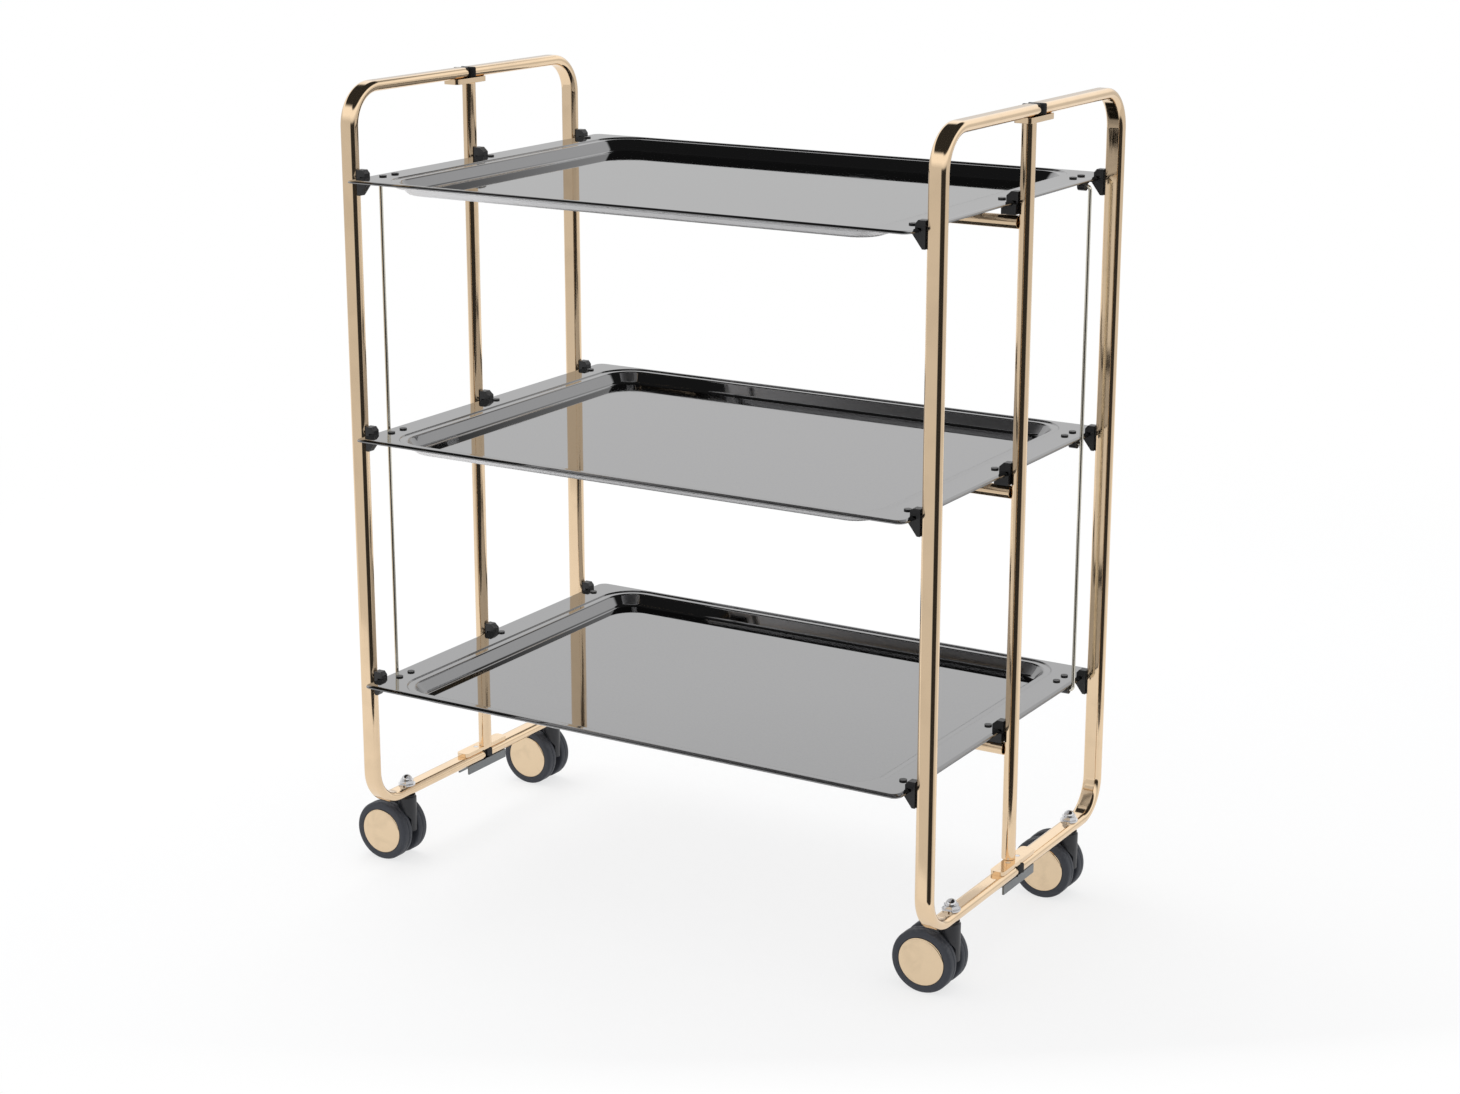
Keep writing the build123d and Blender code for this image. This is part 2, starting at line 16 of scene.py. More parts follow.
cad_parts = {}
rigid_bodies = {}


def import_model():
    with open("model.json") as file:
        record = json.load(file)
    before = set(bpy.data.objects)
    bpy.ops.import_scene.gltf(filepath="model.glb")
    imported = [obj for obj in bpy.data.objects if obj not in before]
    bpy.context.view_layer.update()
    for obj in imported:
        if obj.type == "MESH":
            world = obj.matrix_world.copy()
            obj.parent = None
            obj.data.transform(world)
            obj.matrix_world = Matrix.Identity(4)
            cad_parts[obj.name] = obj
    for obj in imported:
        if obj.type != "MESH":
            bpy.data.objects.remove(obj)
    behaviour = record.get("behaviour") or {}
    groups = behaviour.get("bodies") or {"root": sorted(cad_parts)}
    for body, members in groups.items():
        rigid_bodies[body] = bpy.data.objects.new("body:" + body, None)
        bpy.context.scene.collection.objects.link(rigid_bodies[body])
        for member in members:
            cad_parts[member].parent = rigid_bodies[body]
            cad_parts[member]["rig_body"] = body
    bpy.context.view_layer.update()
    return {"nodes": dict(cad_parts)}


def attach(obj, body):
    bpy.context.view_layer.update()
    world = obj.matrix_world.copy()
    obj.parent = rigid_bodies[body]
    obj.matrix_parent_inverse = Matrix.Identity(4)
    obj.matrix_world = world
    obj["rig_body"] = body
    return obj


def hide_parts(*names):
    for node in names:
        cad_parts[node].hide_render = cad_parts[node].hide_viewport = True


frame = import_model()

log = logging.getLogger("trolley")

# The trailing casters lengthen the outline to the left, so the frame stands to the
# right of the origin.
MIDDLE_X = 0.0205

# Merge distances within a shape, round an outline, and on a node's copy.
MERGE_FINE = 1e-7
MERGE = 1e-6
MERGE_COPY = 2e-6
# Faces of a copied node that turn by less are joined.
FLAT_ANGLE = math.radians(1.0)

Color = tuple[float, float, float]
Socket = bpy.types.NodeSocket


class Side(Enum):
    """End frame of the trolley."""

    LEFT = -1
    RIGHT = 1


class End(Enum):
    """Front or rear half of an end frame."""

    FRONT = -1
    REAR = 1


class Tier(Enum):
    """Tray, valued by the height of its rim."""

    TOP = 0.6934
    MIDDLE = 0.4505
    BOTTOM = 0.2076


class Lay(Enum):
    """Direction of polishing lines, as the stretch of their pattern."""

    UPRIGHT = (1.0, 1.0, 0.015)
    ALONG = (0.015, 1.0, 1.0)
    CLOUDED = (1.0, 1.0, 1.0)


class Shading:
    """Node tree under construction."""

    def __init__(self, tree: bpy.types.NodeTree) -> None:
        """Keep the tree that the nodes go into."""
        self.tree = tree

    def put(self, node: bpy.types.Node, inputs: dict) -> bpy.types.Node:
        """Fill inputs of a node.

        Args:
            node: node of this tree.
            inputs: a value, or an output to link, by input name or number.

        Returns:
            The same node.
        """
        for key, value in inputs.items():
            if isinstance(value, Socket):
                self.tree.links.new(value, node.inputs[key])
            else:
                node.inputs[key].default_value = value
        return node

    def add(self, kind: str, inputs: dict | None = None, **settings) -> bpy.types.Node:
        """Add one node.

        Args:
            kind: Blender's type name of the node.
            inputs: a value, or an output to link, by input name or number.
            **settings: properties of the node itself.

        Returns:
            The new node.
        """
        node = self.tree.nodes.new(kind)
        for key, value in settings.items():
            setattr(node, key, value)
        return self.put(node, inputs or {})

    def first(self, kind: str) -> bpy.types.Node:
        """First node of a type, for those that come with a new tree."""
        return next(node for node in self.tree.nodes if node.type == kind)

    def math(self, operation: str, first: Socket | float, second: Socket | float) -> Socket:
        """Result of a sum on two numbers or outputs."""
        return self.add("ShaderNodeMath", {0: first, 1: second}, operation=operation).outputs[0]

    def vector(self, operation: str, inputs: dict, output: str = "Vector") -> Socket:
        """Result of a vector sum, by the name of the output that holds it."""
        return self.add("ShaderNodeVectorMath", inputs, operation=operation).outputs[output]

    def mixed(self, kind: str, share: Socket, first: Socket | float | tuple,
              second: Socket | float | tuple) -> Socket:
        """Blend of two colours, of kind RGBA, or of two numbers, of kind FLOAT."""
        return self.add("ShaderNodeMix", {"Factor": share, "A": first, "B": second},
                        data_type=kind).outputs["Result"]

    def ranged(self, value: Socket, start: tuple[float, float],
               to: tuple[float | Socket, float | Socket] = (0.0, 1.0),
               way: str = "LINEAR") -> Socket:
        """Carry a value from one range to another, held at its ends.

        Args:
            value: output with the value.
            start: the two ends of its own range.
            to: what those ends become.
            way: how it goes from one to the other.

        Returns:
            The output with the result.
        """
        return self.add("ShaderNodeMapRange",
                        {"Value": value, "From Min": start[0], "From Max": start[1],
                         "To Min": to[0], "To Max": to[1]},
                        interpolation_type=way).outputs["Result"]

    def height(self, direction: Socket) -> Socket:
        """Upward part of a direction."""
        return self.add("ShaderNodeSeparateXYZ", {0: direction}).outputs["Z"]

    def relief(self, height: Socket, strength: float, distance: float) -> Socket:
        """Normal of a surface with a fine height pattern."""
        return self.add("ShaderNodeBump", {"Height": height, "Strength": strength,
                                           "Distance": distance}).outputs["Normal"]

    def effect(self, group: bpy.types.NodeTree, inputs: dict) -> bpy.types.Node:
        """Place a shared effect with this material's own values."""
        return self.add("ShaderNodeGroup", inputs, node_tree=group)


def new_effect(name: str, inputs: dict[str, str], outputs: dict[str, str]
               ) -> tuple[Shading, bpy.types.Node, bpy.types.Node]:
    """Start a shader node group with named sockets.

    Args:
        name: name of the effect.
        inputs: socket type by input name.
        outputs: socket type by output name.

    Returns:
        The tree's builder, its input node and its output node.
    """
    tree = bpy.data.node_groups.new(name, "ShaderNodeTree")
    for label, kind in inputs.items():
        tree.interface.new_socket(name=label, in_out="INPUT", socket_type=f"NodeSocket{kind}")
    for label, kind in outputs.items():
        tree.interface.new_socket(name=label, in_out="OUTPUT", socket_type=f"NodeSocket{kind}")
    make = Shading(tree)
    return make, make.add("NodeGroupInput"), make.add("NodeGroupOutput")


@dataclass
class Effects:
    """Surface effects that several finishes share, each built once."""

    line_band: tuple[float, float] = (0.3, 0.7)
    mark_band: tuple[float, float] = (0.48, 0.72)
    upward_band: tuple[float, float] = (0.1, 0.9)
    speck_band: tuple[float, float] = (0.42, 0.7)
    speck_scale: float = 420.0
    tone_scale: float = 60.0

    def __post_init__(self) -> None:
        """Build all effects."""
        self.lines = self.polishing_lines()
        self.marks = self.handling_marks()
        self.grain = self.moulded_grain()
        self.dust = self.settled_dust()

    def polishing_lines(self) -> bpy.types.NodeTree:
        """Fine lines left by polishing, as roughness and height.

        Returns:
            The effect, with the lines' stretch, scale and range of roughness.
        """
        make, given, out = new_effect(
            "polishing lines",
            {"Vector": "Vector", "Stretch": "Vector", "Scale": "Float", "Low": "Float",
             "High": "Float"},
            {"Roughness": "Float", "Height": "Float"})
        stretched = make.vector("MULTIPLY", {0: given.outputs["Vector"],
                                             1: given.outputs["Stretch"]})
        noise = make.add("ShaderNodeTexNoise",
                         {"Vector": stretched, "Scale": given.outputs["Scale"],
                          "Detail": 5.0, "Roughness": 0.6}).outputs["Fac"]
        spread = make.ranged(noise, self.line_band, (given.outputs["Low"], given.outputs["High"]))
        make.put(out, {"Roughness": spread, "Height": noise})
        return make.tree

    def handling_marks(self) -> bpy.types.NodeTree:
        """Faint clouds where hands and cloths have been, as a mask.

        Returns:
            The effect, with the clouds' scale.
        """
        make, given, out = new_effect(
            "handling marks", {"Vector": "Vector", "Scale": "Float"}, {"Mask": "Float"})
        cloud = make.add("ShaderNodeTexNoise",
                         {"Vector": given.outputs["Vector"], "Scale": given.outputs["Scale"],
                          "Detail": 3.0, "Distortion": 0.6}).outputs["Fac"]
        make.put(out, {"Mask": make.ranged(cloud, self.mark_band)})
        return make.tree

    def moulded_grain(self) -> bpy.types.NodeTree:
        """Fine spark-eroded grain of a mould, as tone and height.

        Returns:
            The effect, with the grain's scale.
        """
        make, given, out = new_effect(
            "moulded grain", {"Vector": "Vector", "Scale": "Float"},
            {"Tone": "Float", "Height": "Float"})
        pits = make.add("ShaderNodeTexVoronoi",
                        {"Vector": given.outputs["Vector"], "Scale": given.outputs["Scale"]},
                        feature="SMOOTH_F1")
        tone = make.add("ShaderNodeTexNoise", {"Vector": given.outputs["Vector"],
                                               "Scale": self.tone_scale, "Detail": 4.0})
        make.put(out, {"Tone": tone.outputs["Fac"], "Height": pits.outputs["Distance"]})
        return make.tree

    def settled_dust(self) -> bpy.types.NodeTree:
        """Thin dust on what faces up, over the surface's own colour.

        Returns:
            The effect, with both colours and the amount of dust.
        """
        make, given, out = new_effect(
            "settled dust",
            {"Color": "Color", "Dust": "Color", "Vector": "Vector", "Normal": "Vector",
             "Amount": "Float"},
            {"Color": "Color"})
        up = make.ranged(make.height(given.outputs["Normal"]), self.upward_band)
        speck = make.add("ShaderNodeTexNoise", {"Vector": given.outputs["Vector"],
                                                "Scale": self.speck_scale, "Detail": 3.0})
        fine = make.ranged(speck.outputs["Fac"], self.speck_band)
        share = make.math("MULTIPLY", make.math("MULTIPLY", up, fine), given.outputs["Amount"])
        make.put(out, {"Color": make.mixed("RGBA", share, given.outputs["Color"],
                                           given.outputs["Dust"])})
        return make.tree


EFFECTS = Effects()


@dataclass(frozen=True)
class Finish:
    """Look of one kind of surface, and the record's slot that it belongs to."""

    name: str
    slot: str
    color: Color
    low: float
    high: float

    def material(self) -> bpy.types.Material:
        """Material of this finish, built at its first use.

        Returns:
            The same material at every call.
        """
        found = bpy.data.materials.get(self.name)
        if found:
            return found
        made = bpy.data.materials.new(self.name)
        made.use_nodes = True
        made.diffuse_color = (*self.color, 1.0)
        make = Shading(made.node_tree)
        own = make.add("ShaderNodeTexCoord")
        make.put(make.first("BSDF_PRINCIPLED"),
                 self.paint(make, own.outputs["Object"], own.outputs["Normal"]))
        return made

    def paint(self, make: Shading, place: Socket, normal: Socket) -> dict:
        """Inputs of the surface's shader.

        Args:
            make: builder of the material's tree.
            place: the object's own coordinates.
            normal: direction that the surface faces.

        Returns:
            A value, or an output to link, by input name.
        """
        raise NotImplementedError

    def dusty(self, make: Shading, place: Socket, normal: Socket, dust: Color,
              amount: float) -> Socket:
        """This finish's colour with dust of another colour on what faces up."""
        return make.effect(EFFECTS.dust, {"Vector": place, "Normal": normal,
                                          "Color": (*self.color, 1.0), "Dust": (*dust, 1.0),
                                          "Amount": amount}).outputs["Color"]


@dataclass(frozen=True)
class PlatedMetal(Finish):
    """Polished plating with fine lines and faint handling marks."""

    lay: Lay = Lay.UPRIGHT
    line_scale: float = 900.0
    line_strength: float = 0.35
    line_height: float = 0.00002
    mark_scale: float = 24.0
    mark_roughness: float = 0.05
    mark_tone: float = 0.93

    def paint(self, make: Shading, place: Socket, normal: Socket) -> dict:
        """Lines in roughness and height, marks in colour and roughness.

        Args:
            make: builder of the material's tree.
            place: the object's own coordinates.
            normal: direction that the surface faces; not used here.

        Returns:
            Inputs of the shader, by name.
        """
        lines = make.effect(EFFECTS.lines, {"Vector": place, "Stretch": self.lay.value,
                                            "Scale": self.line_scale, "Low": self.low,
                                            "High": self.high}).outputs
        marks = make.effect(EFFECTS.marks, {"Vector": place, "Scale": self.mark_scale}
                            ).outputs["Mask"]
        dulled = make.math("MULTIPLY", marks, self.mark_roughness)
        marked = (*[share * self.mark_tone for share in self.color], 1.0)
        return {"Base Color": make.mixed("RGBA", marks, (*self.color, 1.0), marked),
                "Roughness": make.math("ADD", lines["Roughness"], dulled),
                "Normal": make.relief(lines["Height"], self.line_strength, self.line_height),
                "Metallic": 1.0}


@dataclass(frozen=True)
class SmokedMirror(Finish):
    """Black-chrome sheet: a dark mirror with a slow ripple, with a pale satin colour on faces
    that point down as a painted reflection of the floor.
    """

    ripple_scale: float = 7.0
    ripple_strength: float = 0.25
    ripple_height: float = 0.00035
    mark_scale: float = 11.0
    dust_color: Color = (0.42, 0.42, 0.41)
    dust_amount: float = 0.05
    # Pale colour on faces that point down: a painted reflection of the floor, with a satin
    # roughness there.
    painted_underside_color: Color = (0.82, 0.82, 0.83)
    underside_roughness: float = 0.50
    underside_band: tuple[float, float] = (-0.15, -0.40)

    def paint(self, make: Shading, place: Socket, normal: Socket) -> dict:
        """Ripple in the height, wiping marks in roughness, dust and a painted reflection (pale
        colour on faces that point down) in colour.

        Args:
            make: builder of the material's tree.
            place: the object's own coordinates.
            normal: direction that the surface faces.

        Returns:
            Inputs of the shader, by name.
        """
        ripple = make.add("ShaderNodeTexNoise", {"Vector": place, "Scale": self.ripple_scale,
                                                 "Detail": 1.0}).outputs["Fac"]
        marks = make.effect(EFFECTS.marks, {"Vector": place, "Scale": self.mark_scale}
                            ).outputs["Mask"]
        wiped = make.ranged(marks, (0.0, 1.0), (self.low, self.high))
        smoked = self.dusty(make, place, normal, self.dust_color, self.dust_amount)
        # Faces that point down turn pale and satin: a painted reflection of the floor in the base
        # colour.
        below = make.ranged(make.height(normal), self.underside_band)
        return {"Base Color": make.mixed("RGBA", below, smoked, (*self.painted_underside_color, 1.0)),
                "Roughness": make.mixed("FLOAT", below, wiped, self.underside_roughness),
                "Normal": make.relief(ripple, self.ripple_strength, self.ripple_height),
                "Metallic": 1.0}


@dataclass(frozen=True)
class Moulding(Finish):
    """Moulded plastic or rubber with a fine grain and a little dust."""

    grain_scale: float = 2600.0
    grain_strength: float = 0.4
    grain_height: float = 0.00003
    dust_color: Color = (0.16, 0.16, 0.165)
    dust_amount: float = 0.25

    def paint(self, make: Shading, place: Socket, normal: Socket) -> dict:
        """Grain in height and roughness, dust in colour."""
        grain = make.effect(EFFECTS.grain, {"Vector": place, "Scale": self.grain_scale}).outputs
        return {"Base Color": self.dusty(make, place, normal, self.dust_color, self.dust_amount),
                "Roughness": make.ranged(grain["Tone"], (0.0, 1.0), (self.low, self.high)),
                "Normal": make.relief(grain["Height"], self.grain_strength,
                                      self.grain_height)}


GOLD = (0.80, 0.61, 0.41)
GOLD_UPRIGHT = PlatedMetal("Gold plate, upright lay", "gold_metal", GOLD, 0.05, 0.12)
GOLD_ALONG = PlatedMetal("Gold plate, lengthwise lay", "gold_metal", GOLD, 0.06, 0.13,
                         lay=Lay.ALONG)
GOLD_CLOUDED = PlatedMetal("Gold plate, buffed", "gold_metal", GOLD, 0.07, 0.14,
                           lay=Lay.CLOUDED, line_scale=500.0)
GOLD_CAP = PlatedMetal("Gold plate on plastic", "gold_cap", (0.76, 0.59, 0.40), 0.10, 0.15,
                       lay=Lay.CLOUDED, line_scale=120.0, line_height=0.000002,
                       mark_scale=60.0)
SMOKED = SmokedMirror("Smoked chrome sheet", "smoked_sheet", (0.225, 0.225, 0.228), 0.03, 0.075)
BLACK = Moulding("Black moulding", "black_plastic", (0.010, 0.010, 0.011), 0.30, 0.45)
HOOD = Moulding("Caster hood moulding", "black_plastic", (0.014, 0.015, 0.019), 0.32, 0.48)
TYRE = Moulding("Wheel rubber", "tyre", (0.030, 0.034, 0.045), 0.48, 0.62,
                grain_scale=1800.0, dust_color=(0.14, 0.145, 0.16), dust_amount=0.4)
ZINC = PlatedMetal("Grey zinc", "zinc_steel", (0.20, 0.21, 0.215), 0.28, 0.42,
                   lay=Lay.CLOUDED, line_scale=300.0)
BLACK_METAL = PlatedMetal("Blackened steel", "pin_steel", (0.035, 0.035, 0.038), 0.22, 0.34,
                          lay=Lay.CLOUDED, line_scale=400.0)
NICKEL = PlatedMetal("Bright nickel", "pin_steel", (0.62, 0.62, 0.63), 0.08, 0.16,
                     lay=Lay.CLOUDED, line_scale=400.0)
WIRE = PlatedMetal("Bright wire", "pin_steel", (0.72, 0.69, 0.60), 0.10, 0.20)


@dataclass
class Piece:
    """One dressed piece on its way from a mesh into the scene."""

    name: str
    body: str
    finish: Finish
    stands_for: tuple[str, ...]
    crease: float = 32.0

    def place(self, bm: bmesh.types.BMesh) -> bpy.types.Object:
        """Turn a finished mesh into the piece's object.

        Args:
            bm: mesh in the frame's axes, which is freed here.

        Returns:
            The object, riding on its body.
        """
        for face in bm.faces:
            face.smooth = True
        for edge in bm.edges:
            if edge.is_manifold and edge.calc_face_angle() > math.radians(self.crease):
                edge.smooth = False
        mesh = bpy.data.meshes.new(self.name)
        bm.to_mesh(mesh)
        bm.free()
        mesh.materials.append(self.finish.material())
        thing = bpy.data.objects.new(self.name, mesh)
        bpy.context.scene.collection.objects.link(thing)
        flats = thing.modifiers.new("Flat faces", "WEIGHTED_NORMAL")
        flats.keep_sharp = True
        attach(thing, self.body)
        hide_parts(*self.stands_for)
        log.info("%s on %s: %d faces", self.name, self.body, len(mesh.polygons))
        return thing


def only(kind: type, geometry: list) -> list:
    """Members of a mixed list that are of one kind."""
    return [g for g in geometry if isinstance(g, kind)]


def carried(bm: bmesh.types.BMesh, edges: list) -> tuple[list, list]:
    """Extrude a ring of edges in place.

    Args:
        bm: mesh that holds the ring.
        edges: the ring's edges.

    Returns:
        The new ring's vertices, still to be moved, and its edges.
    """
    made = bmesh.ops.extrude_edge_only(bm, edges=edges)["geom"]
    verts = only(bmesh.types.BMVert, made)
    ring = set(verts)
    return verts, [e for e in only(bmesh.types.BMEdge, made)
                   if e.verts[0] in ring and e.verts[1] in ring]


def rounded_face(bm: bmesh.types.BMesh, width: float, height: float, radius: float,
                 place: Matrix, segments: int) -> bmesh.types.BMFace:
    """Rounded rectangle as one face.

    Args:
        bm: mesh that gets the face.
        width: size along the place's first axis.
        height: size along its second axis.
        radius: corner radius.
        place: matrix that carries the face from the ground plane to its place.
        segments: edges in each corner.

    Returns:
        The face.
    """
    before = set(bm.faces)
    made = bmesh.ops.create_grid(bm, x_segments=1, y_segments=1, size=0.5,
                                 matrix=place @ Matrix.Diagonal((width, height, 1.0, 1.0)))
    bmesh.ops.bevel(bm, geom=made["verts"], offset=radius, offset_type="OFFSET",
                    affect="VERTICES", segments=segments, profile=0.5, material=-1)
    face = next(f for f in bm.faces if f not in before)
    bmesh.ops.remove_doubles(bm, verts=list(face.verts), dist=MERGE)
    return next(f for f in bm.faces if f not in before)


def round_face(bm: bmesh.types.BMesh, radius: float, place: Matrix, segments: int
               ) -> bmesh.types.BMFace:
    """Disc as one face, in the place's ground plane."""
    made = bmesh.ops.create_circle(bm, cap_ends=True, segments=segments, radius=radius,
                                   matrix=place)
    return made["verts"][0].link_faces[0]


class Sweep:
    """Closed section carried along straight runs and bends."""

    def __init__(self, bm: bmesh.types.BMesh, face: bmesh.types.BMFace) -> None:
        """Start at a face, which stays as the first end."""
        self.bm = bm
        self.edges = list(face.edges)

    def run(self, step: Vector) -> "Sweep":
        """Carry the section straight on by a step.

        Args:
            step: direction and length of the run.

        Returns:
            The sweep itself.
        """
        verts, self.edges = carried(self.bm, self.edges)
        bmesh.ops.translate(self.bm, verts=verts, vec=step)
        return self

    def bend(self, centre: Vector, axis: Vector, degrees: float, steps: int) -> "Sweep":
        """Carry the section round a bend.

        Args:
            centre: a point on the bend's axis.
            axis: direction of that axis.
            degrees: angle, by the right-hand rule.
            steps: rings along the bend.

        Returns:
            The sweep itself.
        """
        made = bmesh.ops.spin(self.bm, geom=self.edges, cent=centre, axis=axis,
                              dvec=(0.0, 0.0, 0.0), angle=math.radians(degrees), steps=steps,
                              use_merge=False, use_duplicate=False)
        self.edges = only(bmesh.types.BMEdge, made["geom_last"])
        return self

    def close(self) -> bmesh.types.BMFace:
        """Close the last end with a face."""
        return bmesh.ops.edgeloop_fill(self.bm, edges=self.edges)["faces"][0]


def outward(bm: bmesh.types.BMesh) -> None:
    """Merge doubles and turn all faces outwards."""
    bmesh.ops.remove_doubles(bm, verts=bm.verts, dist=MERGE_FINE)
    bmesh.ops.recalc_face_normals(bm, faces=bm.faces)


def soften(bm: bmesh.types.BMesh, width: float, segments: int = 2, angle: float = 30.0) -> None:
    """Round all edges that turn by more than an angle.

    Args:
        bm: closed mesh.
        width: width of the rounded edges.
        segments: faces across each of them.
        angle: least angle between two faces, in degrees.
    """
    sharp = [e for e in bm.edges
             if e.is_manifold and e.calc_face_angle() > math.radians(angle)]
    bmesh.ops.bevel(bm, geom=sharp, offset=width, offset_type="OFFSET", affect="EDGES",
                    segments=segments, profile=0.5, clamp_overlap=True, material=-1)


def hollow_end(bm: bmesh.types.BMesh, face: bmesh.types.BMFace, wall: float,
               depth: float) -> None:
    """Open a tube's end: a ring as thick as the wall, and a bore behind it.

    Args:
        bm: mesh of the closed tube.
        face: the end's face, which becomes the bore's bottom.
        wall: thickness of the ring.
        depth: depth of the bore.
    """
    bmesh.ops.inset_region(bm, faces=[face], thickness=wall, depth=0.0, use_even_offset=True)
    bmesh.ops.inset_individual(bm, faces=[face], thickness=0.0, depth=-depth)


def softened(node: str, piece: str, finish: Finish, width: float, segments: int = 3
             ) -> bpy.types.Object:
    """Piece with a node's shape and rounded edges, in that node's stead.

    Args:
        node: CAD node whose merged copy is shaped.
        piece: name of the new piece.
        finish: its finish.
        width: width of the rounded edges.
        segments: faces across each of them.

    Returns:
        The new object.
    """
    bm = bmesh.new()
    bm.from_mesh(frame["nodes"][node].data)
    bmesh.ops.remove_doubles(bm, verts=bm.verts, dist=MERGE_COPY)
    bmesh.ops.dissolve_limit(bm, angle_limit=FLAT_ANGLE, verts=bm.verts, edges=bm.edges)
    soften(bm, width, segments)
    return Piece(piece, frame["nodes"][node]["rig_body"], finish, (node,)).place(bm)


def dressed(node: str, finish: Finish) -> None:
    """Give a carried-over node its finish.

    Args:
        node: CAD node that is shown as it is.
        finish: finish for all its slots.
    """
    thing = frame["nodes"][node]
    for slot in thing.material_slots:
        slot.material = finish.material()
    log.info("%s keeps its shape", node)


@dataclass
class HalfFrame:
    """Flat-oval tube from the hinge over the upright and back under it."""

    side: Side
    end: End
    half_length: float = 0.3035
    upright_y: float = 0.179
    top_z: float = 0.773
    bottom_z: float = 0.073
    width: float = 0.018
    depth: float = 0.010
    flat_sides: float = 2e-5
    wall: float = 0.0012
    bore: float = 0.007
    bend_radius: float = 0.035
    bend_steps: int = 16
    corner_segments: int = 10
    rail_end: float = 0.006

    def build(self) -> bpy.types.Object:
        """Sweep the tube round both bends.

        Returns:
            The piece's object.
        """
        x, way = MIDDLE_X + self.side.value * self.half_length, self.end.value
        start = way * self.rail_end
        bend_y = way * (self.upright_y - self.bend_radius)
        axis, turn = Vector((1.0, 0.0, 0.0)), -way * 90.0
        bm = bmesh.new()
        place = Matrix.Translation((x, start, self.top_z)) @ Matrix.Rotation(math.pi / 2, 4, "X")
        first = rounded_face(bm, self.width, self.depth, (self.depth - self.flat_sides) / 2,
                             place, self.corner_segments)
        sweep = Sweep(bm, first)
        sweep.run(Vector((0.0, bend_y - start, 0.0)))
        sweep.bend(Vector((x, bend_y, self.top_z - self.bend_radius)), axis, turn,
                   self.bend_steps)
        sweep.run(Vector((0.0, 0.0, self.bottom_z - self.top_z + 2 * self.bend_radius)))
        sweep.bend(Vector((x, bend_y, self.bottom_z + self.bend_radius)), axis, turn,
                   self.bend_steps)
        last = sweep.run(Vector((0.0, start - bend_y, 0.0))).close()
        outward(bm)
        for face in (first, last):
            hollow_end(bm, face, self.wall, self.bore)
        name = f"{self.end.name.lower()}_{self.side.name.lower()}"
        return Piece(f"half_frame_{name}", "frame", GOLD_UPRIGHT,
                     (f"frame_tube_{name}",)).place(bm)


@dataclass
class EndFrame:
    """Two half frames with their post, hinge bar and straps."""

    side: Side
    post_x: float = 0.299
    post_radius: float = 0.0065
    post_bottom: float = 0.082
    post_top: float = 0.763
    post_bevel: float = 0.0005
    post_segments: int = 40
    bar_edge: float = 0.0008
    strap_edge: float = 0.0006

    def post(self) -> bpy.types.Object:
        """Round post between the straps and the hinge bar.

        Returns:
            The piece's object.
        """
        name = self.side.name.lower()
        bm = bmesh.new()
        place = Matrix.Translation((MIDDLE_X + self.side.value * self.post_x, 0.0,
                                    self.post_bottom))
        sweep = Sweep(bm, round_face(bm, self.post_radius, place, self.post_segments))
        sweep.run(Vector((0.0, 0.0, self.post_top - self.post_bottom))).close()
        outward(bm)
        soften(bm, self.post_bevel)
        return Piece(f"centre_post_{name}", "frame", GOLD_UPRIGHT, (f"post_{name}",)).place(bm)

    def build(self) -> None:
        """Build the tubes, the post and the flat bars."""
        name = self.side.name.lower()
        for end in End:
            HalfFrame(self.side, end).build()
        self.post()
        softened(f"hinge_bar_{name}", f"top_hinge_bar_{name}", GOLD_CLOUDED, self.bar_edge)
        softened(f"base_strap_{name}", f"base_hinge_strap_{name}", GOLD_CLOUDED,
                 self.strap_edge)
        softened(f"foot_strap_{name}", f"foot_stop_strap_{name}", ZINC, self.strap_edge)


